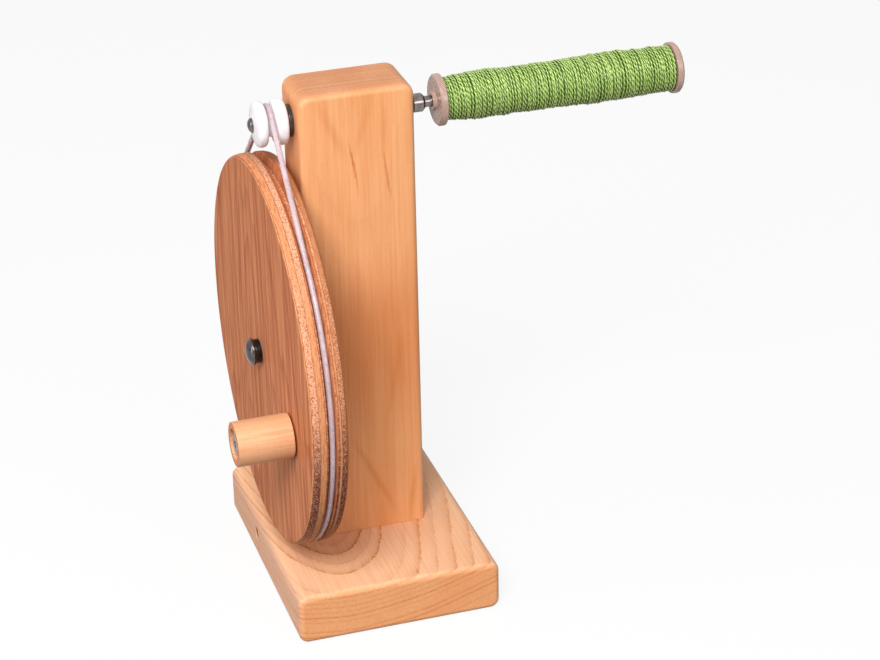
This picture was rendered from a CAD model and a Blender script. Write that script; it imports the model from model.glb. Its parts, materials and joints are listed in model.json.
"""A hand bobbin winder in a plain studio: wood, steel, nylon, plastic and yarn over the CAD frame."""

import json
import math

import bmesh
import bpy
import numpy as np
from mathutils import Matrix, Vector


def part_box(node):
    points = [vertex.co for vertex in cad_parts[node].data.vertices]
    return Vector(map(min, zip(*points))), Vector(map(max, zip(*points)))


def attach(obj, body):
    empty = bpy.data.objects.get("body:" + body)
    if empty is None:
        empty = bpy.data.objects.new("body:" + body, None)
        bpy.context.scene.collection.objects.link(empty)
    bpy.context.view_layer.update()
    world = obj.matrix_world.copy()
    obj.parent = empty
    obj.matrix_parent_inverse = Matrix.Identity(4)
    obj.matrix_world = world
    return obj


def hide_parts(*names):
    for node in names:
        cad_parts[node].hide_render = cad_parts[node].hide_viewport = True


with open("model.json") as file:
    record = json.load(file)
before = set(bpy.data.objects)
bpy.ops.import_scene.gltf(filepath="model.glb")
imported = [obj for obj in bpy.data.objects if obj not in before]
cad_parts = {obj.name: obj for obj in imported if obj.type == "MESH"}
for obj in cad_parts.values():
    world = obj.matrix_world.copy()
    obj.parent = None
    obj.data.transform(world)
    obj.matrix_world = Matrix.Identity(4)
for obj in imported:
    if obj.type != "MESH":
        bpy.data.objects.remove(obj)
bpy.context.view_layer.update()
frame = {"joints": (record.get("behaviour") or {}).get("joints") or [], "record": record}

# Base board
# A slab of flat-sawn beech with its grain from front to back, every edge sanded round and the whole
# lacquered satin. Its left side has a blind bore for a clamp rod, its underside two countersinks.

MM = 0.001


class Wire:
    """One output in a node tree; sums and products of wires become Math nodes."""

    def __init__(self, tree, socket):
        self.tree = tree
        self.socket = socket

    def math(self, operation, *others):
        return self.tree.node("ShaderNodeMath", {"operation": operation}, [self, *others])

    def step(self, low, high):
        """A smooth rise from 0 at low to 1 at high."""
        ends = {"Value": self, "From Min": low, "From Max": high}
        return self.tree.node("ShaderNodeMapRange", {"interpolation_type": "SMOOTHSTEP"}, ends)

    def __add__(self, other):
        return self.math("ADD", other)

    __radd__ = __add__

    def __mul__(self, other):
        return self.math("MULTIPLY", other)

    __rmul__ = __mul__

    def __sub__(self, other):
        return self.math("SUBTRACT", other)

    def __rsub__(self, other):
        return self.tree.node("ShaderNodeMath", {"operation": "SUBTRACT"}, [other, self])

    def __truediv__(self, other):
        return self.math("DIVIDE", other)

    def __rtruediv__(self, other):
        return self.tree.node("ShaderNodeMath", {"operation": "DIVIDE"}, [other, self])

    def __pow__(self, other):
        return self.math("POWER", other)


class Tree:
    """The nodes of one material, world or Geometry Nodes group."""

    def __init__(self, group):
        self.nodes = group.nodes
        self.links = group.links

    def node(self, kind, settings=None, sockets=(), out=0):
        """A new node of that kind; sockets go by name or number, out picks one output or several."""
        node = self.nodes.new(kind)
        for key, value in (settings or {}).items():
            setattr(node, key, value)
        for key, value in sockets.items() if isinstance(sockets, dict) else enumerate(sockets):
            if isinstance(value, Wire):
                self.links.new(value.socket, node.inputs[key])
            else:
                node.inputs[key].default_value = value
        if isinstance(out, int):
            return Wire(self, node.outputs[out])
        return [Wire(self, node.outputs[index]) for index in out]

    def vector(self, x, y, z):
        return self.node("ShaderNodeCombineXYZ", {}, [x, y, z])

    def split(self, vector):
        return self.node("ShaderNodeSeparateXYZ", {}, [vector], out=range(3))

    def noise(self, x, y, z, detail=2.0, roughness=0.5):
        sizes = {"Vector": self.vector(x, y, z), "Scale": 1.0, "Detail": detail, "Roughness": roughness}
        return self.node("ShaderNodeTexNoise", {}, sizes)

    def chance(self, value):
        """A number from 0 to 1 that is the same for the same value and unlike for any other."""
        return self.node("ShaderNodeTexWhiteNoise", {"noise_dimensions": "1D"}, {"W": value})

    def mix(self, factor, first, second, blend="MIX"):
        settings = {"data_type": "RGBA", "blend_type": blend}
        return self.node("ShaderNodeMix", settings, {0: factor, 6: first, 7: second}, out=2)

    def millimetres(self):
        """The object's own coordinates, in millimetres."""
        place = self.node("ShaderNodeTexCoord", out=3)
        return self.split(self.node("ShaderNodeMapping", {}, {"Vector": place, "Scale": (1000, 1000, 1000)}))

    def facing(self):
        """The surface's direction in the object's own axes."""
        return self.split(self.node("ShaderNodeTexCoord", out=1))

    def relief(self, height, depth):
        """The normal of a surface that stands out by depth where height is 1."""
        return self.node("ShaderNodeBump", {}, {"Strength": 1.0, "Distance": depth, "Height": height})

    def finish(self, shader):
        self.node("ShaderNodeOutputMaterial", {}, [shader], out=())

    def surface(self, values):
        """End a material with one Principled shader."""
        self.finish(self.node("ShaderNodeBsdfPrincipled", {}, values))


def new_material(name):
    material = bpy.data.materials.new(name)
    material.use_nodes = True
    material.node_tree.nodes.clear()
    return material, Tree(material.node_tree)


def paint(code):
    """A colour from its six hexadecimal digits, as the linear values that shaders take."""
    shares = [int(code[i:i + 2], 16) / 255 for i in (0, 2, 4)]
    return [s / 12.92 if s <= 0.04045 else ((s + 0.055) / 1.055) ** 2.4 for s in shares] + [1.0]


def wood(name, axes, ring_shape, look):
    """Lacquered beech. axes are the object's axes along, across and through the board, ring_shape bends
    the year rings along the board's face, and look holds what differs from piece to piece: its tones, the
    size and start of its rings, how strong each mark is, and where heart, streaks and drilled holes lie."""
    look = {key: paint(value) if isinstance(value, str) else value for key, value in look.items()}
    material, tree = new_material(name)
    place = tree.millimetres()
    facing = [share.math("ABSOLUTE") for share in tree.facing()]
    along, across, through = (place[axis] for axis in axes)
    end = facing[axes[0]].step(0.4, 0.85)

    def grain(lengthwise, crosswise, **sizes):
        return tree.noise(along * lengthwise, across * crosswise, through * crosswise, **sizes)

    drift = grain(0.014, 0.035) - 0.5
    ragged = grain(0.3, 1.2, detail=3.0) - 0.5
    rings = through * look["lie"] + ring_shape(along, across)
    rings = rings + drift * look["drift"] + ragged * look["ragged"]
    rings = rings / look["ring_width"] + look["ring_start"]
    ring = rings.math("FLOOR")
    part = rings - ring
    strength = tree.chance(ring + look["seed"]) ** 1.6
    broken = grain(0.1, 0.4).step(0.35, 0.6)
    start = part.step(0.0, 0.03)
    crisp = start * (1 - part.step(0.05, 0.2)) * broken
    soft = start * (1 - part.step(0.08, 0.65))
    line = (crisp * look["crisp"] + soft * look["soft"]) * strength
    stain = 0.0
    for from_across, from_along, to_across, to_along, width, depth in look["streaks"]:
        run = Vector((to_across - from_across, to_along - from_along))
        length = run.length
        run.normalize()
        aside = across - from_across + drift * 4
        ahead = along - from_along
        reached = aside * run.x + ahead * run.y
        off = (aside * run.y - ahead * run.x + ragged * 1.6).math("ABSOLUTE")
        inside = reached.step(-4, length * 0.4) * (1 - reached.step(length * 0.6, length + 4))
        stain = (1 - off.step(0.0, width * 1.3)) * inside * depth + stain

    fibre = grain(0.03, 1.3, detail=5.0, roughness=0.62)
    broad = grain(0.008, 0.07, detail=1.0)
    cells = {"Vector": tree.vector(along * 0.42, across * 2.1, through * 2.1), "Scale": 1.0}
    distance, shade = tree.node("ShaderNodeTexVoronoi", {}, cells, out=(0, 1))
    fleck = (1 - distance.step(0.12, 0.32)) * tree.split(shade)[0].step(0.45, 0.8)

    colour = tree.mix(fibre.step(0.28, 0.72), look["pale"], look["deep"])
    colour = tree.mix(broad.step(0.35, 0.7) * look["patches"], colour, look["warm"])
    if look["heart"]:
        top_end, top_start, foot_start, foot_end = look["heart"]
        heart = along.step(top_end, top_start) * along.step(foot_end, foot_start)
        colour = tree.mix(heart * (0.75 + broad * 0.5), colour, look["heart_tone"], "MULTIPLY")
        colour = tree.mix(stain * (0.5 + fibre), colour, look["stain"])
    colour = tree.mix((line * (1 + end * look["end_line"])).math("MINIMUM", 1.0), colour, look["dark"])
    colour = tree.mix(fleck * look["fleck"], colour, look["dark"])
    colour = tree.mix(end, colour, look["end"], "MULTIPLY")
    colour = tree.mix(facing[axes[1]].step(0.4, 0.85), colour, look["side"], "MULTIPLY")
    for drill_y, drill_z, drill_radius, drill_end in look["drilled"]:
        from_middle = ((place[1] - drill_y) ** 2 + (place[2] - drill_z) ** 2).math("SQRT")
        wall = from_middle.step(drill_radius + 0.2, drill_radius + 0.05)
        burnt = wall * place[0].step(drill_end + 2, drill_end)
        colour = tree.mix(burnt * 0.85, colour, look["scorched"])
    worn = 1 - facing[0].math("MAXIMUM", facing[1]).math("MAXIMUM", facing[2])
    colour = tree.mix(worn.step(0.02, 0.3) * look["worn"], colour, look["bare"])
    tree.surface({
        "Base Color": colour,
        "Roughness": 0.44 + fibre * 0.16,
        "Specular IOR Level": 0.3,
        "Coat Weight": 0.05,
        "Coat Roughness": 0.3,
        "Normal": tree.relief(fibre * 0.6 - fleck * 0.3, 0.02 * MM),
    })
    return material


def rounded(outline):
    """The points of an outline whose corners (x, radius, rounding) are rounded where they say so."""
    points = []
    for i, (x, radius, *rounding) in enumerate(outline):
        here = Vector((x, radius))
        if not rounding:
            points.append(here)
            continue
        back = Vector(outline[i - 1][:2]) - here
        ahead = Vector(outline[(i + 1) % len(outline)][:2]) - here
        reach = rounding[0] / math.tan(back.angle(ahead) / 2)
        start = here + back.normalized() * min(reach, back.length / 2)
        stop = here + ahead.normalized() * min(reach, ahead.length / 2)
        for t in (0, 0.2, 0.4, 0.6, 0.8, 1):
            points.append(start * (1 - t) ** 2 + here * 2 * t * (1 - t) + stop * t ** 2)
    return points


def mesh_of(shape, name):
    bmesh.ops.recalc_face_normals(shape, faces=shape.faces)
    mesh = bpy.data.meshes.new(name)
    shape.to_mesh(mesh)
    shape.free()
    return mesh


def turned(outline, axis, hollow=False, turns=96):
    """A mesh turned about the line along X through axis (y, z). A solid outline runs from the line back
    to the line; a hollow one closes on itself."""
    shape = bmesh.new()
    angles = [2 * math.pi * i / turns for i in range(turns)]
    rings = []
    for x, radius in rounded(outline):
        if radius == 0:
            rings.append([shape.verts.new((x, *axis))] * turns)
        else:
            rings.append([shape.verts.new((x, axis[0] + radius * math.cos(a), axis[1] + radius * math.sin(a)))
                          for a in angles])
    for ring, following in zip(rings, rings[1:] + (rings[:1] if hollow else [])):
        for i in range(turns):
            j = (i + 1) % turns
            shape.faces.new(dict.fromkeys([ring[i], ring[j], following[j], following[i]]))
    return mesh_of(shape, "turned")


def sleeve(start, stop, outside, bore, axis, rounding):
    """A turned tube with rounded edges."""
    return turned([(start, bore), (start, outside, rounding), (stop, outside, rounding), (stop, bore)],
                  axis, hollow=True)


def placed(name, data):
    """A new object in the scene."""
    item = bpy.data.objects.new(name, data)
    bpy.context.collection.objects.link(item)
    return item


def evaluated(mesh, add_modifiers):
    """The mesh after the modifiers that add_modifiers puts on an object of it."""
    work = placed("work", mesh)
    add_modifiers(work)
    depsgraph = bpy.context.evaluated_depsgraph_get()
    result = bpy.data.meshes.new_from_object(
        work.evaluated_get(depsgraph), preserve_all_data_layers=True, depsgraph=depsgraph)
    bpy.data.objects.remove(work)
    return result


def shaped(mesh, *cutters):
    """The mesh less its cutters, with sharp edges kept sharp and flat faces shaded flat."""
    tools = [placed("cutter", cutter) for cutter in cutters]

    def cut(work):
        for tool in tools:
            modifier = work.modifiers.new("cut", "BOOLEAN")
            modifier.operation = "DIFFERENCE"
            modifier.solver = "EXACT"
            modifier.object = tool

    def level(work):
        modifier = work.modifiers.new("level", "WEIGHTED_NORMAL")
        modifier.keep_sharp = True
        modifier.weight = 90

    sharp_angle = math.radians(38)
    result = evaluated(mesh, cut)
    for tool in tools:
        bpy.data.objects.remove(tool)
    result.shade_smooth()
    result.set_sharp_from_angle(angle=sharp_angle)
    return evaluated(result, level)


def put(name, mesh, material, body, slot, *nodes):
    """A finished piece that moves with its body and is seen in place of its CAD nodes."""
    mesh.name = name
    mesh.materials.clear()
    mesh.materials.append(material)
    piece = placed(name, mesh)
    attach(piece, body)
    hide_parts(*nodes)


def block(low, high):
    shape = bmesh.new()
    place = Matrix.Translation((low + high) / 2) @ Matrix.Diagonal((*(high - low), 1))
    bmesh.ops.create_cube(shape, size=1, matrix=place)
    return shape


def eased(shape, edges, width, segments):
    """Round some of a block's edges."""
    bmesh.ops.bevel(shape, geom=edges, offset=width, segments=segments, profile=0.5, affect="EDGES")


def running_back(shape, lowest):
    """The edges from front to back of a block, above a height."""
    return [edge for edge in shape.edges if abs(edge.verts[0].co.y - edge.verts[1].co.y) > hairline
            and min(vert.co.z for vert in edge.verts) > lowest]


def round_ends(shape, low, high, lowest):
    """The edges of a block's front and back faces, above a height."""
    return [edge for edge in shape.edges if max(vert.co.z for vert in edge.verts) > lowest
            and any(all(abs(vert.co.y - y) < hairline for vert in edge.verts) for y in (low.y, high.y))]


def upright(mesh, x):
    """A piece turned along X from the origin, stood on end at x."""
    mesh.transform(Matrix.Translation((x, 0, 0)) @ Matrix.Rotation(-math.pi / 2, 4, "Y"))
    return mesh


def at_screws(outline):
    """A cutter of that outline stood on end at each of the two wood screws."""
    return [upright(turned(outline, (0, 0)), x) for x in screw_places]


base_low, base_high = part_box("base_board")
base_round = 4 * MM
base_ease = 2.4 * MM
rod = next(mount for mount in frame["record"]["mounts"] if mount["name"] == "clamp_rod_bore")
rod_radius = rod["dims"]["r_mm"] * MM
rod_end = base_low.x + rod["dims"]["length_mm"] * MM
screw_low, screw_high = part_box("base_screws")
screw_head = (screw_high.y - screw_low.y) / 2
screw_shank = 2.25 * MM
screw_places = (screw_low.x + screw_head, screw_high.x - screw_head)
# The gap round a piece in its seat, and how far a cutter runs out past a face
hairline = 0.04 * MM
overrun = 1 * MM


def base_rings(along, across):
    """Arches on the left of the board's face, their tips at the front, that straighten out on the right."""
    off = across + 18
    near = (off * off / -480).math("EXPONENT")
    return (along + 41) * (0.036 + 0.13 * near) - 1.62 * (1 + off * off / 81).math("SQRT")


base_look = {
    "pale": "f5c59f", "deep": "ebb287", "warm": "e6a878", "dark": "c67a3c", "bare": "f4cfae",
    "end": "ffe5c9", "side": "eee8ec", "scorched": "5a3218",
    "lie": 0.55, "ring_width": 1.25, "ring_start": 0.35, "seed": 5.0, "drift": 0.8, "ragged": 0.5,
    "crisp": 0.9, "soft": 0.5, "end_line": -0.3, "patches": 0.35, "fleck": 0.14, "worn": 0.12,
    "heart": (), "streaks": (),
    "drilled": ((rod["pos_m"][1] / MM, rod["pos_m"][2] / MM, rod_radius / MM, rod_end / MM),),
}
base_beech = wood("base_beech", (1, 0, 2), base_rings, base_look)
base_shape = block(base_low, base_high)
eased(base_shape, running_back(base_shape, base_low.z - hairline), base_round, segments=8)
eased(base_shape, round_ends(base_shape, base_low, base_high, base_low.z - hairline), base_ease, segments=4)
rod_mouth = 1.5 * MM
rod_bore = turned(
    [(base_low.x - overrun, 0), (base_low.x - overrun, rod_radius + rod_mouth),
     (base_low.x + rod_mouth - overrun, rod_radius), (rod_end, rod_radius), (rod_end, 0)],
    (rod["pos_m"][1], rod["pos_m"][2]))
sink_radius = screw_head + hairline
hole_radius = screw_shank + hairline
countersinks = at_screws(
    [(-overrun, 0), (-overrun, sink_radius), (screw_low.z, sink_radius),
     (screw_low.z + screw_head - screw_shank, hole_radius), (base_high.z + overrun, hole_radius),
     (base_high.z + overrun, 0)])
base_mesh = shaped(mesh_of(base_shape, "base"), rod_bore, *countersinks)
put("beech_base", base_mesh, base_beech, "stand", "base_wood", "base_board")

# Post
# An upright of the same beech, its grain running up it, sanded round at the edges. The bushes sit in
# bores near its top and the axle's insert in its left side. It stands flat on the base, held from below.

post_low, post_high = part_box("post")
post_round = 5 * MM
post_ease = 2.7 * MM
post_foot = 0.35 * MM
bush_low, bush_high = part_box("right_spindle_bush")
bush_radius = (bush_high.z - bush_low.z) / 2
spindle_line = (0, (bush_high.z + bush_low.z) / 2)
left_bush_low, left_bush_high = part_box("left_spindle_bush")
insert_low, insert_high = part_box("axle_insert")
insert_radius = (insert_high.z - insert_low.z) / 2
wheel_line = (0, (insert_high.z + insert_low.z) / 2)
tunnel_radius = 3.3 * MM
screw_tip = 4.5 * MM


def post_rings(along, across):
    """Arches that point down the post's face, their middle moving to the left further up."""
    off = across - 17.6 + 0.103 * along
    return 0.36 * (1 + off * off / 81).math("SQRT") - 0.017 * along


post_look = {
    "pale": "f3b17d", "deep": "e99f66", "warm": "e19156", "dark": "b86e34", "bare": "f2c79c",
    "end": "e6e2ea", "side": "f4f2f6", "heart_tone": "ebd8c8", "stain": "cb7429",
    "lie": 1.0, "ring_width": 1.05, "ring_start": 0.2, "seed": 11.0, "drift": 0.7, "ragged": 0.05,
    "crisp": 0.1, "soft": 0.3, "end_line": 1.6, "patches": 0.45, "fleck": 0.22, "worn": 0.12,
    "heart": (152.0, 116.0, 106.0, 56.0), "drilled": (),
    "streaks": ((-14.4, 212.5, -4.2, 188.2, 2.6, 0.3), (6.2, 214.0, -1.0, 188.0, 2.0, 0.22),
                (-3.1, 196.0, -0.2, 175.0, 0.6, 0.8), (12.3, 211.0, 10.8, 189.4, 1.6, 0.25),
                (10.8, 189.4, 13.1, 170.8, 0.7, 0.8), (16.4, 111.0, 10.3, 73.2, 1.8, 0.3),
                (-6.9, 67.1, 13.2, 25.2, 1.7, 0.35), (21.6, 50.0, 17.5, 24.3, 2.0, 0.3)),
}
post_beech = wood("post_beech", (2, 0, 1), post_rings, post_look)
post_shape = block(post_low, post_high)
above_foot = post_low.z + hairline
eased(post_shape, running_back(post_shape, above_foot), post_round, segments=8)
eased(post_shape, round_ends(post_shape, post_low, post_high, above_foot), post_ease, segments=5)
foot_edges = [edge for edge in post_shape.edges if all(vert.co.z < above_foot for vert in edge.verts)]
eased(post_shape, foot_edges, post_foot, segments=2)


def bore(start, stop, radius, axis):
    """A cutter for a plain round hole."""
    return turned([(start, 0), (start, radius), (stop, radius), (stop, 0)], axis)


screw_holes = at_screws(
    [(post_low.z - overrun, 0), (post_low.z - overrun, hole_radius), (screw_high.z - screw_tip, hole_radius),
     (screw_high.z + hairline, 0)])
post_mesh = shaped(
    mesh_of(post_shape, "post"),
    bore(post_low.x - overrun, left_bush_high.x, bush_radius + hairline, spindle_line),
    bore(bush_low.x, post_high.x + overrun, bush_radius + hairline, spindle_line),
    bore(left_bush_low.x, bush_high.x, tunnel_radius, spindle_line),
    bore(post_low.x - overrun, insert_high.x, insert_radius + hairline, wheel_line),
    *screw_holes)
put("beech_post", post_mesh, post_beech, "stand", "post_wood", "post")

# Base screws
# Two zinc-plated countersunk wood screws that come up through the base into the post's end grain.
# Only their heads, with a cross recess, are open to view, from below.


def metal(name, colour, dark, roughness, axis, marks):
    """Turned metal: fine tool marks run round the axis, over broad clouds of a duller tone."""
    material, tree = new_material(name)
    x, y, z = tree.millimetres()
    y = y - axis[0] / MM
    z = z - axis[1] / MM
    radius = (y * y + z * z).math("SQRT")
    rings = tree.noise(x * 3.1, radius * 3.1, 0.0, detail=3.0, roughness=0.7)
    clouds = tree.noise(x * 0.35, y * 0.35, z * 0.35, detail=3.0)
    tree.surface({
        "Base Color": tree.mix((rings * 0.5 + clouds * 0.7).step(0.3, 0.9), paint(colour), paint(dark)),
        "Metallic": 1.0,
        "Roughness": roughness + (rings + clouds - 1) * 0.1,
        "Normal": tree.relief(rings, marks),
    })
    return material


def node_group(name, inputs):
    """A new Geometry Nodes group that takes the named inputs: the group, its tree and a wire for each."""
    group = bpy.data.node_groups.new(name, "GeometryNodeTree")
    for label, kind in inputs.items():
        group.interface.new_socket(name=label, in_out="INPUT", socket_type="NodeSocket" + kind)
    group.interface.new_socket(name="Geometry", in_out="OUTPUT", socket_type="NodeSocketGeometry")
    tree = Tree(group)
    return group, tree, tree.node("NodeGroupInput", out=range(len(inputs)))


def hand_over(tree, shape, material):
    """End a group with its shape made real and given its material."""
    solid = tree.node("GeometryNodeRealizeInstances", {}, [shape])
    dressed = tree.node("GeometryNodeSetMaterial", {}, {0: solid, "Material": material})
    tree.node("NodeGroupOutput", {}, [dressed], out=())


def repeated(mesh, count, start, spacing, material):
    """The mesh set out count times in a row, by Geometry Nodes."""
    group, tree, (how_many, first, gap) = node_group(
        "row", {"Count": "Int", "Start": "Vector", "Spacing": "Vector"})
    original = bpy.data.objects.new("original", mesh)
    row = tree.node("GeometryNodeMeshLine", {"mode": "OFFSET"},
                    {"Count": how_many, "Start Location": first, "Offset": gap})
    shape = tree.node("GeometryNodeObjectInfo", {}, {"Object": original}, out=4)
    copies = tree.node("GeometryNodeInstanceOnPoints", {}, {"Points": row, "Instance": shape})
    hand_over(tree, copies, material)
    values = {"Count": count, "Start": start, "Spacing": spacing}
    result = evaluated(bpy.data.meshes.new("row"), lambda work: set_nodes(work, group, values))
    bpy.data.objects.remove(original)
    return result


def set_nodes(work, group, values):
    """Put a Geometry Nodes group on an object, with its named inputs set."""
    modifier = work.modifiers.new("nodes", "NODES")
    modifier.node_group = group
    for item in group.interface.items_tree:
        if item.in_out == "INPUT":
            modifier[item.identifier] = values[item.name]


recess_reach = 2.3 * MM
recess_width = 0.55 * MM
recess_depth = 2.2 * MM
broken_edge = 0.3 * MM
screw_solid = turned(
    [(screw_low.z, 0), (screw_low.z, screw_head, broken_edge),
     (screw_low.z + screw_head - screw_shank, screw_shank), (screw_high.z - screw_tip, screw_shank),
     (screw_high.z, 0)], (0, 0), turns=48)
recess_start = screw_low.z - overrun
recess_end = screw_low.z + recess_depth
cross = [mesh_of(block(Vector((recess_start, -wide, -tall)), Vector((recess_end, wide, tall))), "recess")
         for wide, tall in ((recess_reach, recess_width), (recess_width, recess_reach))]
zinc = metal("zinc_plate", "c9c6bd", "8f8c86", 0.34, (0, 0), 0.004 * MM)
screw_mesh = upright(shaped(screw_solid, *cross), 0)
screws = repeated(screw_mesh, len(screw_places), (screw_places[0], 0, 0),
                  (screw_places[1] - screw_places[0], 0, 0), zinc)
put("countersunk_screws", screws, zinc, "stand", "zinc_steel", "base_screws")

# Spindle bushes
# Two moulded bushes of black nylon pressed into the post from either side. The left one has a flange
# behind the pulley, the right one is a plain sleeve that stands out towards the bobbin.


def plastic(name, colour, shade, roughness, glow, grain):
    """Moulded plastic with a soft orange-peel skin; glow lets light into the body of pale ones."""
    material, tree = new_material(name)
    x, y, z = tree.millimetres()
    skin = tree.noise(x * 2.4, y * 2.4, z * 2.4, detail=3.0)
    flow = tree.noise(x * 0.16, y * 0.22, z * 0.22, detail=3.0)
    tree.surface({
        "Base Color": tree.mix(flow.step(0.3, 0.75), paint(colour), paint(shade)),
        "Roughness": roughness + (skin + flow - 1) * 0.14,
        "Subsurface Weight": glow,
        "Subsurface Radius": (1.0, 0.9, 0.85),
        "Subsurface Scale": 1.2 * MM,
        "Normal": tree.relief(skin, grain),
    })
    return material


black_nylon = plastic("black_nylon", "2a2422", "362e2b", 0.26, 0.0, 0.006 * MM)
spindle_bore = 2.55 * MM
soft_edge = 0.4 * MM
bush_lip = 0.25 * MM
flange_round = 0.55 * MM
flange_low, flange_high = left_bush_low.x, post_low.x
flange_radius = (left_bush_high.z - left_bush_low.z) / 2
left_bush = turned(
    [(flange_low, spindle_bore, bush_lip), (flange_low, flange_radius, flange_round),
     (flange_high, flange_radius), (flange_high, bush_radius), (left_bush_high.x, bush_radius, broken_edge),
     (left_bush_high.x, spindle_bore)],
    spindle_line, hollow=True)
put("left_bush_nylon", shaped(left_bush), black_nylon, "stand", "black_nylon", "left_spindle_bush")


def plain_ring(node, bore_radius, axis, rounding):
    """The sleeve, washer or ring that a CAD node gives the length and the outside of."""
    low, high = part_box(node)
    return shaped(sleeve(low.x, high.x, (high.z - low.z) / 2, bore_radius, axis, rounding))


right_bush = plain_ring("right_spindle_bush", spindle_bore, spindle_line, soft_edge)
put("right_bush_nylon", right_bush, black_nylon, "stand", "black_nylon", "right_spindle_bush")

# Axle insert and wheel spacer
# A brass threaded insert is screwed into the post's left side, and a zinc-plated steel washer stands
# between it and the wheel.

insert_brass = metal("turned_brass", "d9b25c", "a98136", 0.3, wheel_line, 0.006 * MM)
insert_thread = 2.54 * MM
axle_insert = plain_ring("axle_insert", insert_thread, wheel_line, soft_edge)
put("brass_insert", axle_insert, insert_brass, "stand", "insert_brass", "axle_insert")
axle_radius = 3 * MM
wheel_spacer = plain_ring("wheel_spacer", axle_radius + hairline, wheel_line, broken_edge)
spacer_zinc = metal("spacer_zinc", "c4c2bc", "8b8984", 0.36, wheel_line, 0.006 * MM)
put("spacer_washer", wheel_spacer, spacer_zinc, "stand", "zinc_steel", "wheel_spacer")

# Drive wheel
# A disc turned from plywood: reddish face veneers with upright grain, layers that show long grain and
# end grain in turn round the rim, and a groove for the band. The crank's nut sits in its back.

wheel_low, wheel_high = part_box("drive_wheel")
wheel_radius = (wheel_high.z - wheel_low.z) / 2
crank = next(joint["pos_m"] for joint in frame["joints"] if joint["name"] == "knob_spin")
crank_line = (crank[1], crank[2])
band_low, band_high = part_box("drive_band")
band_plane = (band_low.x + band_high.x) / 2
band_radius = (band_high.x - band_low.x) / 2
band_wheel_radius = wheel_line[1] - band_low.z - band_radius
band_room = 0.3 * MM
groove_room = band_radius + band_room
groove_angle = math.radians(15)
groove_slope = math.tan(groove_angle)
groove_bottom = band_wheel_radius - groove_room
groove_half = groove_room / math.cos(groove_angle) - groove_room * groove_slope
groove_mouth = groove_half + (wheel_radius - groove_bottom) * groove_slope
wheel_bush_radius = 4.55 * MM
nut_low, nut_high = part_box("crank_nut")
nut_flange = (nut_high.z - nut_low.z) / 2
nut_barrel = 3.74 * MM
nut_flange_height = 1.5 * MM
nut_step = nut_high.x - nut_flange_height
crank_radius = 2.5 * MM

# Layers from the front face: thickness in mm, whether the grain runs up the disc, the tone along the grain
# and the two tones of open ends, cut with the grain and against it
plies = ((0.6, 1, "d8966a", "d0906c", "9a5a3c"), (2.6, 0, "dc9468", "e09a76", "784034"),
         (2.5, 1, "dc966a", "e4a480", "c68e68"), (1.6, 0, "b86440", "c87854", "783a28"),
         (1.9, 1, "cc8052", "d0865c", "844430"), (1.6, 0, "c07048", "cc7e58", "683026"),
         (1.0, 1, "d8946a", "de9c74", "9c5e40"), (2.1, 0, "ce885c", "cc865e", "6e382c"),
         (0.6, 1, "b8724c", "b0704e", "6c3a2c"))
ply_pale, ply_deep, ply_dark = paint("d78d60"), paint("b86a44"), paint("8e472f")
pore, torn, red_run = paint("76381f"), paint("efbd98"), paint("b25c30")


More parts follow.
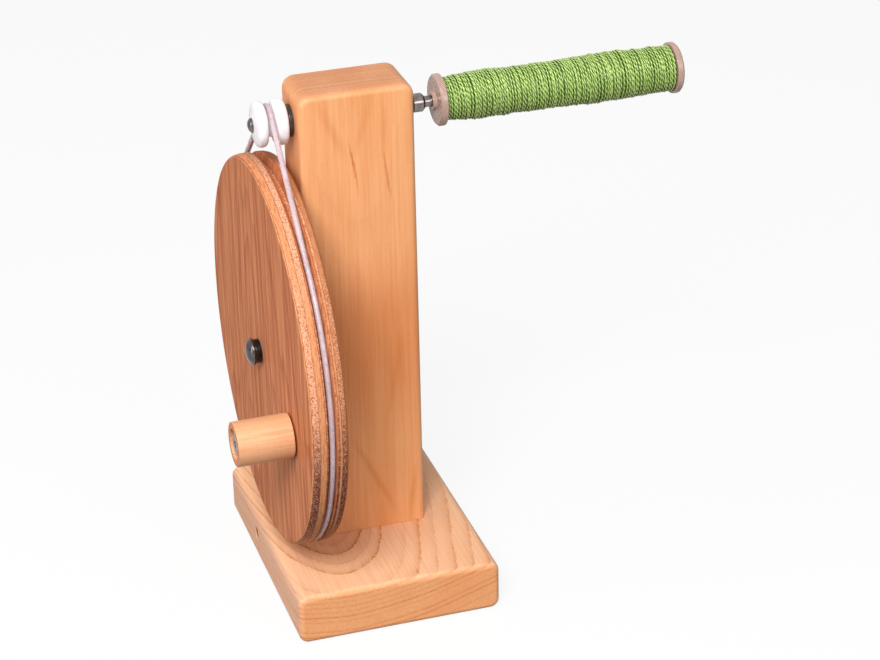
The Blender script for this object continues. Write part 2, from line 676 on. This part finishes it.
def plywood(name):
    """Plywood seen on its faces and round its turned rim."""
    material, tree = new_material(name)
    x, y, z = tree.millimetres()
    depth = x - wheel_low.x / MM
    z = z - wheel_line[1] / MM
    facing = tree.facing()
    face = facing[0].math("ABSOLUTE").step(0.75, 0.9)
    upward = facing[2].math("ABSOLUTE").step(0.5, 0.85)

    between_faces = 7.0
    side = depth.math("GREATER_THAN", between_faces)
    drift = tree.noise(y * 0.035, z * 0.006, side * 9.0) - 0.5
    ragged = tree.noise(y * 1.5, z * 0.11, side * 5.0, detail=3.0) - 0.5
    off = y - 14 + 0.05 * z
    rings = 0.55 * (1 + off * off / 120).math("SQRT") + z * 0.012 + drift * 2.6 + ragged * 0.16
    rings = rings / 0.42
    ring = rings.math("FLOOR")
    part = rings - ring
    line = part.step(0.3, 0.92) * (1 - part.step(0.93, 1.0)) * tree.chance(ring + 7.0)
    streak = tree.noise(y * 0.3, z * 0.006, side * 3.0, detail=5.0, roughness=0.62)
    vessel = tree.noise(y * 4.6, z * 0.16, side * 3.0, detail=3.0)
    veneer = tree.mix(streak.step(0.36, 0.64), ply_pale, ply_deep)
    veneer = tree.mix(line * 0.55, veneer, ply_dark)
    veneer = tree.mix(vessel.step(0.54, 0.72) * 0.3, veneer, ply_dark)

    sway = tree.noise(y * 0.05, z * 0.05, 1.0) - 0.5
    level = depth + sway * 0.5
    against = (facing[1] * facing[2]).step(-0.2, 0.32)
    start = 0.0
    for i, (thickness, up, run, clean, rough) in enumerate(plies):
        layer_ends = tree.mix(against, paint(clean), paint(rough))
        if i == 0:
            long_run = paint(run)
            open_ends = layer_ends
            long_grain = float(up)
            glue = 0.0
        else:
            past = level.step(start - 0.05, start + 0.05)
            long_run = tree.mix(past, long_run, paint(run))
            open_ends = tree.mix(past, open_ends, layer_ends)
            long_grain = past * (up - long_grain) + long_grain
            glue = (level - start).math("ABSOLUTE").step(0.16, 0.03) + glue
        start += thickness
    turned_away = (long_grain - upward).math("ABSOLUTE")
    speck = tree.noise(x * 1.5, y * 1.5, z * 1.5, detail=4.0, roughness=0.7)
    strand = tree.noise(x * 2.6, y * 0.3, z * 0.3, detail=4.0, roughness=0.6)
    open_ends = tree.mix((1 - speck.step(0.4, 0.48)) * 0.75, open_ends, pore)
    open_ends = tree.mix(speck.step(0.52, 0.62) * 0.65, open_ends, torn)
    long_run = tree.mix(strand.step(0.46, 0.62) * 0.6, long_run, red_run)
    rim = tree.mix(turned_away, open_ends, long_run)
    rim = tree.mix(glue.math("MINIMUM", 1.0) * 0.7, rim, pore)

    height = tree.mix(face, strand * 0.4 - speck * (1 - turned_away), streak * 0.5 - vessel * 0.5)
    tree.surface({
        "Base Color": tree.mix(face, rim, veneer),
        "Roughness": 0.52 + streak * 0.14,
        "Specular IOR Level": 0.06,
        "Normal": tree.relief(height, 0.05 * MM),
    })
    return material


crown = 1.6 * MM
crown_width = 4.2 * MM
lip = 0.25 * MM
crown_steps = [math.radians(angle) for angle in range(0, 91, 10)]
falls = [(crown_width * (1 - math.cos(a)), wheel_radius - crown * (1 - math.sin(a))) for a in crown_steps]
wheel_solid = turned(
    [(wheel_low.x, wheel_bush_radius + hairline), *((wheel_low.x + inset, radius) for inset, radius in falls),
     (band_plane - groove_mouth, wheel_radius, lip), (band_plane - groove_half, groove_bottom, lip),
     (band_plane + groove_half, groove_bottom, lip), (band_plane + groove_mouth, wheel_radius, lip),
     *((wheel_high.x - inset, radius) for inset, radius in reversed(falls)),
     (wheel_high.x, wheel_bush_radius + hairline)],
    wheel_line, hollow=True, turns=256)
crank_hole = crank_radius + hairline
nut_seat = turned(
    [(wheel_low.x - overrun, 0), (wheel_low.x - overrun, crank_hole), (nut_low.x, crank_hole),
     (nut_low.x, nut_barrel + hairline), (nut_step, nut_barrel + hairline), (nut_step, nut_flange + hairline),
     (wheel_high.x + overrun, nut_flange + hairline), (wheel_high.x + overrun, 0)], crank_line)
turned_plywood = plywood("turned_plywood")
put("plywood_wheel", shaped(wheel_solid, nut_seat), turned_plywood, "wheel", "wheel_plywood", "drive_wheel")

# Wheel bush
# A plain sleeve moulded in white nylon and pressed into the wheel's middle. It runs on the axle bolt's
# shank, with a little room.

white_nylon = plastic("white_nylon", "f6f2f4", "e9e4ea", 0.36, 0.25, 0.008 * MM)
running_room = 0.05 * MM
fine_edge = 0.2 * MM
wheel_bush = sleeve(
    wheel_low.x, wheel_high.x, wheel_bush_radius, axle_radius + running_room, wheel_line, fine_edge)
put("wheel_bush_nylon", shaped(wheel_bush), white_nylon, "wheel", "white_nylon", "wheel_bush")

# Axle bolt and ring
# A steel bolt with a satin domed head runs through the wheel into the insert. A dark steel ring keeps
# the head off the wheel's face.


def domed(apex, seat, radius, rim, shank, stop):
    """Outline of a bolt with a plain shank, whose domed head rises from a round-edged rim to apex."""
    rise = seat - rim - apex
    swell = math.radians(68)
    steps = 12
    dome = []
    for angle in (swell * i / steps for i in range(steps)):
        dome.append((apex + rise * (1 - math.cos(angle)) / (1 - math.cos(swell)),
                     radius * math.sin(angle) / math.sin(swell)))
    return dome + [(seat - rim, radius, rim * 0.6), (seat, radius, rim * 0.6), (seat, shank),
                   (stop, shank, broken_edge), (stop, 0)]


axle_low, axle_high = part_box("axle_bolt")
axle_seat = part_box("axle_ring")[0].x
axle_head = (axle_high.z - axle_low.z) / 2
satin_steel = metal("satin_steel", "6c6665", "443f3e", 0.18, wheel_line, 0.002 * MM)
axle_rim = 0.9 * MM
axle_bolt = turned(domed(axle_low.x, axle_seat, axle_head, axle_rim, axle_radius, axle_high.x), wheel_line)
put("axle_bolt_steel", shaped(axle_bolt), satin_steel, "stand", "satin_steel", "axle_bolt")
dark_steel = metal("dark_steel", "4e4a49", "2c2827", 0.24, wheel_line, 0.003 * MM)
axle_ring = plain_ring("axle_ring", axle_radius + hairline, wheel_line, broken_edge)
put("axle_ring_steel", axle_ring, dark_steel, "stand", "dark_steel", "axle_ring")

# Crank screw, nut and washer
# A steel screw with a low head and a hexagon socket carries the knob. It is held in a flanged nut let
# into the wheel's back, over a dark washer on the wheel's face.

screw_start, screw_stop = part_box("crank_screw")
crank_head = (screw_stop.z - screw_start.z) / 2
crank_head_height = 2.4 * MM
crank_head_round = 0.7 * MM
crank_seat = screw_start.x + crank_head_height
keen_edge = 0.15 * MM
socket_radius = 1.7 * MM
socket_depth = 1.4 * MM
socket_end = screw_start.x + socket_depth
socket_point = 0.6 * MM
crank_screw = turned(
    [(screw_start.x, 0), (screw_start.x, crank_head, crank_head_round), (crank_seat, crank_head, keen_edge),
     (crank_seat, crank_radius), (screw_stop.x, crank_radius, broken_edge), (screw_stop.x, 0)], crank_line)
socket = turned(
    [(screw_start.x - overrun, 0), (screw_start.x - overrun, socket_radius), (socket_end, socket_radius),
     (socket_end + socket_point, 0)], crank_line, turns=6)
screw_steel = metal("screw_steel", "a5a1a3", "77737a", 0.34, crank_line, 0.004 * MM)
put("crank_screw_steel", shaped(crank_screw, socket), screw_steel, "wheel", "satin_steel", "crank_screw")
crank_nut = turned(
    [(nut_low.x, crank_hole), (nut_low.x, nut_barrel, broken_edge), (nut_step, nut_barrel),
     (nut_step, nut_flange, fine_edge), (nut_high.x, nut_flange, soft_edge),
     (nut_high.x, crank_hole, broken_edge)],
    crank_line, hollow=True)
nut_zinc = metal("nut_zinc", "c9c6bd", "8f8c86", 0.34, crank_line, 0.005 * MM)
put("crank_nut_steel", shaped(crank_nut), nut_zinc, "wheel", "zinc_steel", "crank_nut")
crank_washer = plain_ring("crank_washer", crank_hole, crank_line, keen_edge)
washer_steel = metal("washer_steel", "5a5553", "35312f", 0.32, crank_line, 0.004 * MM)
put("crank_washer_steel", crank_washer, washer_steel, "wheel", "dark_steel", "crank_washer")

# Crank knob
# A short handle turned from pale beech with its grain along it, softly rounded at both ends. A wide
# recess in its outer end hides the screw that it spins on.

knob_low, knob_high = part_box("crank_knob")
knob_radius = (knob_high.z - knob_low.z) / 2
knob_round = 0.6 * MM
recess_radius = 6.2 * MM
knob_recess = 3.3 * MM
recess_floor = knob_low.x + knob_recess
knob_hole = crank_radius + running_room
knob_look = {
    "pale": "efba8f", "deep": "dfa174", "warm": "d9986b", "dark": "9a6238", "bare": "f0cca6",
    "end": "e2bd9e", "side": "ffffff",
    "lie": 1.0, "ring_width": 1.5, "ring_start": 0.4, "seed": 21.0, "drift": 0.6, "ragged": 0.12,
    "crisp": 0.2, "soft": 0.15, "end_line": 0.5, "patches": 0.35, "fleck": 0.4, "worn": 0.0,
    "heart": (), "streaks": (), "drilled": (),
}


def knob_rings(along, across):
    """Shallow arches that lean along the knob."""
    return 0.01 * across * across + 0.03 * along


knob_beech = wood("knob_beech", (0, 1, 2), knob_rings, knob_look)
knob_solid = turned(
    [(knob_low.x, recess_radius, broken_edge), (knob_low.x, knob_radius, knob_round),
     (knob_high.x, knob_radius, knob_round), (knob_high.x, knob_hole), (recess_floor, knob_hole),
     (recess_floor, recess_radius, broken_edge)], crank_line, hollow=True, turns=128)
put("beech_knob", shaped(knob_solid), knob_beech, "knob", "knob_wood", "crank_knob")

# Spindle
# Turned bright from one steel bar: a shank that runs in the bushes, a chamfered collar against the right
# bush and a neck and taper for the bobbin.

spindle_low, spindle_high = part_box("spindle")
bobbin_low, bobbin_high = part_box("bobbin")
shank_radius = 2.5 * MM
collar_radius = (spindle_high.z - spindle_low.z) / 2
collar_gap = 0.3 * MM
collar_length = 4.8 * MM
collar_start = bush_high.x + collar_gap
collar_end = collar_start + collar_length
collar_chamfer = 1 * MM
chamfer_edge = 0.1 * MM
neck_radius = 2.25 * MM
neck_in_bobbin = 16.4 * MM
neck_end = bobbin_low.x + neck_in_bobbin
tip_radius = 1.5 * MM
bright_steel = metal("bright_steel", "968d8a", "665e5a", 0.2, spindle_line, 0.001 * MM)
spindle_solid = turned(
    [(spindle_low.x, 0), (spindle_low.x, shank_radius, fine_edge), (collar_start, shank_radius),
     (collar_start, collar_radius, keen_edge), (collar_end - collar_chamfer, collar_radius, chamfer_edge),
     (collar_end, collar_radius - collar_chamfer, chamfer_edge), (collar_end, neck_radius),
     (neck_end, neck_radius), (spindle_high.x, tip_radius, soft_edge), (spindle_high.x, 0)], spindle_line)
put("spindle_steel", shaped(spindle_solid), bright_steel, "spindle", "bright_steel", "spindle")

# Pulley and its screw
# A pulley of white nylon with two round-lipped cheeks is pushed on the spindle's left end. Its outer face
# is a low cone, and a dark domed screw in the middle of that holds it.

pulley_low, pulley_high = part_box("pulley")
pulley_radius = (pulley_high.z - pulley_low.z) / 2
pulley_round = 1.9 * MM
cone_height = 1 * MM
cone_radius = 3.5 * MM
cone_round = 2.4 * MM
groove_flare = 0.5 * MM
groove_foot = 1.1 * MM
foot_round = 0.7 * MM
band_pulley_radius = band_high.z - spindle_line[1] - band_radius
pulley_bottom = band_pulley_radius - groove_room
pulley_bore = shank_radius + hairline
pulley_solid = turned(
    [(pulley_low.x, pulley_bore), (pulley_low.x, cone_radius, soft_edge),
     (pulley_low.x + cone_height, pulley_radius, cone_round),
     (band_plane - groove_room - groove_flare, pulley_radius, pulley_round),
     (band_plane - groove_foot, pulley_bottom, foot_round),
     (band_plane + groove_foot, pulley_bottom, foot_round),
     (band_plane + groove_room + groove_flare, pulley_radius, pulley_round),
     (pulley_high.x, pulley_radius, pulley_round), (pulley_high.x, pulley_bore)], spindle_line, hollow=True)
put("pulley_nylon", shaped(pulley_solid), white_nylon, "spindle", "white_nylon", "pulley")
cap_low, cap_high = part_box("pulley_screw")
cap_radius = (cap_high.z - cap_low.z) / 2
cap_shank = 1.5 * MM
cap_rim = 0.3 * MM
pulley_screw = turned(
    domed(cap_low.x, pulley_low.x, cap_radius, cap_rim, cap_shank, cap_high.x), spindle_line, turns=64)
cap_steel = metal("cap_steel", "867e7b", "4a4341", 0.16, spindle_line, 0.001 * MM)
put("pulley_screw_steel", shaped(pulley_screw), cap_steel, "spindle", "dark_steel", "pulley_screw")

# Drive band
# One endless round cord of milky stretch plastic, welded into a loop. It lies in the wheel's groove and
# runs up to the pulley in two straight lengths.


def loop_points(steps):
    """Points along the band's middle: its arc round the wheel, then its arc round the pulley."""
    rise = spindle_line[1] - wheel_line[1]
    leave = math.acos((band_wheel_radius - band_pulley_radius) / rise)
    points = []
    for centre, radius, first, last in ((wheel_line[1], band_wheel_radius, leave, 2 * math.pi - leave),
                                        (spindle_line[1], band_pulley_radius, -leave, leave)):
        for i in range(steps + 1):
            angle = first + (last - first) * i / steps
            points.append((band_plane, radius * math.sin(angle), centre + radius * math.cos(angle)))
    return points


def stored(tree, shape, label, value):
    """Keep a number at each point of a shape, for its material to read."""
    return tree.node("GeometryNodeStoreNamedAttribute", {"data_type": "FLOAT", "domain": "POINT"},
                     {0: shape, "Name": label, "Value": value})


def tube_along(points, radius, sides, material):
    """A round tube along a closed path, by Geometry Nodes. It keeps its way along as an attribute."""
    path = bpy.data.meshes.new("path")
    path.from_pydata(points, [(i, (i + 1) % len(points)) for i in range(len(points))], [])
    group, tree, (line, size, facets) = node_group(
        "tube", {"Geometry": "Geometry", "Radius": "Float", "Sides": "Int"})
    curve = tree.node("GeometryNodeMeshToCurve", {}, [line])
    curve = stored(tree, curve, "along", tree.node("GeometryNodeSplineParameter", out=1))
    profile = tree.node("GeometryNodeCurvePrimitiveCircle", {}, {"Resolution": facets, "Radius": size})
    tube = tree.node("GeometryNodeCurveToMesh", {}, {0: curve, 1: profile})
    hand_over(tree, tree.node("GeometryNodeSetShadeSmooth", {}, [tube]), material)
    values = {"Geometry": None, "Radius": radius, "Sides": sides}
    return evaluated(path, lambda work: set_nodes(work, group, values))


def milky_band(name):
    """Milky plastic with faint slanting streaks from its drawing."""
    material, tree = new_material(name)
    x, y, z = tree.millimetres()
    along = tree.node("ShaderNodeAttribute", {"attribute_name": "along"}, out=2) / MM
    streak = tree.noise(along * 1.5 + x * 2.2, x * 0.6, 0.0, detail=4.0, roughness=0.6)
    cloud = tree.noise(x * 0.2, y * 0.1, z * 0.1)
    colour = tree.mix(streak.step(0.35, 0.68), paint("f6e4e7"), paint("d2b9bf"))
    colour = tree.mix(cloud.step(0.35, 0.7) * 0.3, colour, paint("b89da1"))
    tree.surface({
        "Base Color": colour,
        "Roughness": 0.28 + streak * 0.14,
        "Transmission Weight": 0.4,
        "Subsurface Weight": 0.5,
        "Subsurface Radius": (1.0, 0.8, 0.85),
        "Subsurface Scale": 1.0 * MM,
        "Normal": tree.relief(streak, 0.02 * MM),
    })
    return material


band_material = milky_band("milky_band")
arc_steps = 160
band_sides = 20
band_mesh = tube_along(loop_points(arc_steps), band_radius, band_sides, band_material)
put("band_loop", band_mesh, band_material, "stand", "band_rubber", "drive_band")

# Bobbin
# A slim bobbin moulded in mauve-beige plastic, its two flanges bevelled at the outer rim and a ring
# round its mouth. Its bore jams on the spindle's taper.

flange_wide = (bobbin_high.z - bobbin_low.z) / 2
flange_thick = 2.8 * MM
flange_bevel = 0.8 * MM
barrel_radius = 4 * MM
mouth_radius = 3.75 * MM
mouth_height = 1.4 * MM
bobbin_bore = neck_radius + running_room
bobbin_from = bobbin_low.x + mouth_height
yarn_from = bobbin_from + flange_thick
yarn_to = bobbin_high.x - flange_thick
bobbin_solid = turned(
    [(bobbin_low.x, bobbin_bore, broken_edge), (bobbin_low.x, mouth_radius, broken_edge),
     (bobbin_from, mouth_radius, broken_edge), (bobbin_from, flange_wide - flange_bevel, fine_edge),
     (bobbin_from + flange_bevel, flange_wide, fine_edge), (yarn_from, flange_wide, broken_edge),
     (yarn_from, barrel_radius, soft_edge), (yarn_to, barrel_radius, soft_edge),
     (yarn_to, flange_wide, broken_edge), (bobbin_high.x - flange_bevel, flange_wide, fine_edge),
     (bobbin_high.x, flange_wide - flange_bevel, fine_edge), (bobbin_high.x, bobbin_bore, soft_edge)],
    spindle_line, hollow=True, turns=128)
bobbin_plastic = plastic("bobbin_plastic", "b89a8c", "ae9082", 0.24, 0.1, 0.002 * MM)
put("bobbin_moulding", shaped(bobbin_solid), bobbin_plastic, "bobbin", "bobbin_plastic", "bobbin")

# Yarn
# Green wool yarn of two twisted plies, wound by hand in close turns that wander and ride over each
# other. It fills the bobbin nearly to the flanges and slopes off next to the post.

# Outer radius of the winding in units of swell_unit mm, at shares of the way along it from the post
swell_unit = 20
yarn_swell = ((0.0, 0.42), (0.06, 0.455), (0.15, 0.487), (0.24, 0.474), (0.46, 0.472), (0.65, 0.494),
              (0.72, 0.496), (0.88, 0.478), (1.0, 0.465))
# Radius at which one twist of the plies is exactly one lay long, in mm
twist_radius = 9.3


def strand_group(name):
    """A Geometry Nodes group that winds one strand of twisted plies round the bobbin.
    It keeps the ply, its turn, how high it lies in the strand and the way round it as attributes."""
    group, tree, inputs = node_group(name, {
        "Turns": "Float", "Points": "Int", "Ply": "Float", "Reach": "Float", "Thick": "Float", "Lay": "Float",
        "Sink": "Float", "Wander": "Float", "Seed": "Float", "Sides": "Int", "Finish": "Material"})
    turns, points, ply, reach, thick, lay, sink, wander, seed, sides, finish = inputs

    share = tree.node("GeometryNodeInputIndex") / (points - 1)
    turn = share * turns
    angle = turn * (2 * math.pi)
    middle = (share * math.pi).math("SINE")
    stray = tree.noise(turn * 0.31, seed, 0.0, detail=2.0) - 0.5
    place = (share + stray * wander * middle.step(0.0, 0.12)).math("MAXIMUM", 0.004).math("MINIMUM", 0.996)
    swell = tree.node("ShaderNodeFloatCurve", {}, {"Value": place})
    mapping = swell.socket.node.mapping
    bends = mapping.curves[0].points
    bends[0].location, bends[1].location = yarn_swell[0], yarn_swell[-1]
    for bend in yarn_swell[1:-1]:
        bends.new(*bend)
    mapping.update()
    swell = swell * swell_unit
    sine, cosine = angle.math("SINE"), angle.math("COSINE")
    lump = tree.noise(place * 16, sine * 0.9, cosine * 0.9) - 0.5
    ride = tree.noise(turn * 1.9, seed, 3.0, detail=1.0) - 0.5
    radius = swell - sink + lump * 1.8 * middle.step(0.0, 0.3) + ride * 0.25

    slip = tree.noise(turn * 1.3, seed, 7.0, detail=2.0) * 9
    twist = turn * (4 * math.pi * math.pi * twist_radius) / lay + ply * (2 * math.pi) + slip
    outward = radius + twist.math("COSINE") * reach
    x = yarn_from / MM + thick + reach + place * ((yarn_to - yarn_from) / MM - 2 * (thick + reach))
    x = x + twist.math("SINE") * reach
    spot = tree.vector(x, outward * cosine, outward * sine)
    spot = tree.node("ShaderNodeVectorMath", {"operation": "SCALE"}, {"Vector": spot, "Scale": MM})
    spot = tree.node("ShaderNodeVectorMath", {"operation": "ADD"}, [spot, (0.0, *spindle_line)])

    line = tree.node("GeometryNodeMeshLine", {"mode": "OFFSET"}, {"Count": points})
    line = tree.node("GeometryNodeSetPosition", {}, {"Geometry": line, "Position": spot})
    for label, value in (("turn", turn), ("ply", ply), ("crest", twist.math("COSINE") * 0.5 + 0.5)):
        line = stored(tree, line, label, value)
    path = tree.node("GeometryNodeMeshToCurve", {}, [line])
    ring = tree.node("GeometryNodeCurvePrimitiveCircle", {}, {"Resolution": sides, "Radius": thick * MM})
    ring = stored(tree, ring, "around", tree.node("GeometryNodeInputIndex") / sides)
    tube = tree.node("GeometryNodeCurveToMesh", {}, {0: path, 1: ring, "Fill Caps": True})
    hand_over(tree, tree.node("GeometryNodeSetShadeSmooth", {}, [tube]), finish)
    return group


def wool(name, dark, light, lit):
    """Dyed wool: fibres along each ply, lime lights on its crest and olive hollows between the plies."""
    material, tree = new_material(name)
    turn, ply, crest, around = (tree.node("ShaderNodeAttribute", {"attribute_name": label}, out=2)
                                for label in ("turn", "ply", "crest", "around"))
    x, y, z = tree.millimetres()
    z = z - spindle_line[1] / MM
    facing = tree.facing()
    outward = (facing[1] * y + facing[2] * z) / (y * y + z * z).math("SQRT")
    ring = around * (2 * math.pi)
    sine, cosine = ring.math("SINE"), ring.math("COSINE")
    fibre = tree.noise(turn * 34, sine * 2.2 + ply * 9, cosine * 2.2, detail=4.0, roughness=0.65)
    shade = tree.noise(turn * 7.0, ply * 5.0, 0.0, detail=3.0)
    broad = tree.noise(x * 0.09, y * 0.2, z * 0.2, detail=2.0)
    colour = tree.mix(((fibre - 0.5) * 0.9 + crest).step(0.45, 1.0), paint(dark), paint(light))
    colour = tree.mix(shade.step(0.45, 0.7) * 0.25, colour, paint(lit))
    colour = tree.mix(broad.step(0.4, 0.75) * 0.2, colour, paint(light))
    colour = tree.mix((1 - outward).step(0.1, 0.8) * 0.65, colour, paint("2c420c"))
    tree.surface({
        "Base Color": colour,
        "Roughness": 0.24 + fibre * 0.14,
        "Specular IOR Level": 1.0,
        "Specular Tint": paint("eef6b4"),
        "Normal": tree.relief(fibre, 0.05 * MM),
    })
    return material


def joined(meshes):
    shape = bmesh.new()
    for mesh in meshes:
        shape.from_mesh(mesh)
    result = bpy.data.meshes.new("joined")
    shape.to_mesh(result)
    shape.free()
    return result


def strip_map(mesh, sides, points, row_points):
    """A map for baking that lays tubes of so many sides and points out flat, in rows of row_points steps."""

    def numbers(items, label):
        values = np.empty(len(items), dtype=np.int64)
        items.foreach_get(label, values)
        return values

    corners = numbers(mesh.loops, "vertex_index")
    starts = numbers(mesh.polygons, "loop_start")
    totals = numbers(mesh.polygons, "loop_total")
    tube, place = np.divmod(corners, sides * points)
    step, way = np.divmod(place, sides)

    def unrolled(values, count):
        """Count on past the seam where a face crosses it."""
        spread = np.maximum.reduceat(values, starts) - np.minimum.reduceat(values, starts)
        return np.where((np.repeat(spread, totals) > 1) & (values == 0), count, values)

    step = unrolled(step, points)
    way = unrolled(way, sides)
    rows = -(-points // row_points)
    row = np.repeat(np.minimum.reduceat(step, starts), totals) // row_points
    across = (step - row * row_points) / row_points
    up = (tube * rows + row + 0.05 + 0.9 * way / sides) / (rows * (tube.max() + 1))
    mesh.uv_layers.new(name="OFBake").uv.foreach_set("vector", np.stack([across, up], axis=1).ravel())


crest_wool = wool("green_wool", "4c701c", "bedb82", "94b858")
core_wool = wool("shaded_wool", "3f5218", "66802f", "56702a")
strand = strand_group("wound_strand")


def wound(material, turns, turn_points, plies_wound, **sizes):
    """All plies of one strand that goes round so many times, as one piece."""
    points = turns * turn_points
    values = {"Turns": float(turns), "Points": points, "Finish": material, **sizes}
    mesh = joined([evaluated(bpy.data.meshes.new("strand"), lambda work: set_nodes(
        work, strand, {**values, "Ply": ply / plies_wound})) for ply in range(plies_wound)])
    strip_map(mesh, sizes["Sides"], points, turn_points)
    return mesh


core_strand = {"turn_points": 40, "plies_wound": 1, "Reach": 0.0, "Thick": 1.35, "Lay": 4.0, "Sides": 8}
twisted_pair = {"turn_points": 132, "plies_wound": 2, "Reach": 0.24, "Thick": 0.34, "Lay": 4.8, "Sides": 4}
yarn_under = wound(core_wool, 46, Sink=2.0, Wander=0.0, Seed=1.0, **core_strand)
yarn_main = wound(crest_wool, 92, Sink=0.58, Wander=0.03, Seed=2.0, **twisted_pair)
yarn_over = wound(crest_wool, 19, Sink=0.4, Wander=0.3, Seed=5.0, **twisted_pair)
put("yarn_under", yarn_under, core_wool, "bobbin", "green_yarn", "yarn_core")
put("yarn_main", yarn_main, crest_wool, "bobbin", "green_yarn", "yarn_winding")
put("yarn_over", yarn_over, crest_wool, "bobbin", "green_yarn", "yarn_winding")

# Studio
# A pale floor that runs out past the picture, one large soft lamp in front on the upper left, a tall narrow
# one on the left, a small one in front on the right, and a white room. The camera looks down from the
# front left.

floor_size = 6.0
floor_shape = bmesh.new()
bmesh.ops.create_grid(floor_shape, x_segments=1, y_segments=1, size=floor_size / 2)
floor_mesh = mesh_of(floor_shape, "floor")
floor = placed("floor", floor_mesh)
floor_material, floor_tree = new_material("pale_floor")


def in_view(tree):
    """Whether a ray comes from the camera, and whether from there, off a gloss or through a clear piece."""
    seen, mirrored, through = tree.node("ShaderNodeLightPath", out=(0, 3, 6))
    return seen, seen.math("MAXIMUM", mirrored).math("MAXIMUM", through)


seen, open_view = in_view(floor_tree)
floor_tone = floor_tree.mix(open_view, paint("747474"), paint("ececec"))
paper = floor_tree.node("ShaderNodeBsdfDiffuse", {}, [floor_tone])
white = floor_tree.node("ShaderNodeEmission", {}, {"Color": (1, 1, 1, 1), "Strength": 1.0})
floor_glow = 0.88
floor_tree.finish(floor_tree.node("ShaderNodeMixShader", {}, [seen * floor_glow, paper, white]))
floor_mesh.materials.append(floor_material)


def soft_lamp(name, place, aim, width, height, watts):
    data = bpy.data.lights.new(name, "AREA")
    data.shape = "ELLIPSE"
    data.size = width
    data.size_y = height
    data.energy = watts
    lamp = placed(name, data)
    lamp.location = place
    lamp.rotation_euler = (Vector(aim) - Vector(place)).to_track_quat("-Z", "Y").to_euler()


middle = (0.02, 0.0, 0.1)
soft_lamp("key_lamp", (-0.50, -0.86, 1.08), middle, 0.6, 0.6, 19.4)
soft_lamp("left_lamp", (-1.20, -0.08, 0.55), middle, 0.22, 1.2, 4.3)
soft_lamp("right_lamp", (0.38, -1.1, 0.72), middle, 0.45, 0.45, 2.4)

world = bpy.data.worlds.new("white_room")
bpy.context.scene.world = world
world.use_nodes = True
world.node_tree.nodes.clear()
room = Tree(world.node_tree)
ambient = 0.34
strength = ambient + in_view(room)[1] * (1 - ambient)
light = room.node("ShaderNodeBackground", {}, {"Color": (1, 1, 1, 1), "Strength": strength})
room.node("ShaderNodeOutputWorld", {}, [light], out=())

camera_target = Vector((0.036534, 0.0, 0.101064))
camera_distance = 1.075403
camera_azimuth = math.radians(17.16)
camera_elevation = math.radians(26.897)
camera_roll = math.radians(-1.239)
camera_lens = 107.33
back = Vector((-math.sin(camera_azimuth) * math.cos(camera_elevation),
               -math.cos(camera_azimuth) * math.cos(camera_elevation), math.sin(camera_elevation)))
right = Vector((math.cos(camera_azimuth), -math.sin(camera_azimuth), 0))
turn = Matrix((right, back.cross(right), back)).transposed() @ Matrix.Rotation(camera_roll, 3, "Z")
camera_data = bpy.data.cameras.new("camera")
camera_data.sensor_width = 36
camera_data.lens = camera_lens
camera = placed("camera", camera_data)
camera.matrix_world = Matrix.Translation(camera_target + back * camera_distance) @ turn.to_4x4()
bpy.context.scene.camera = camera
bpy.context.scene.view_settings.view_transform = "Standard"
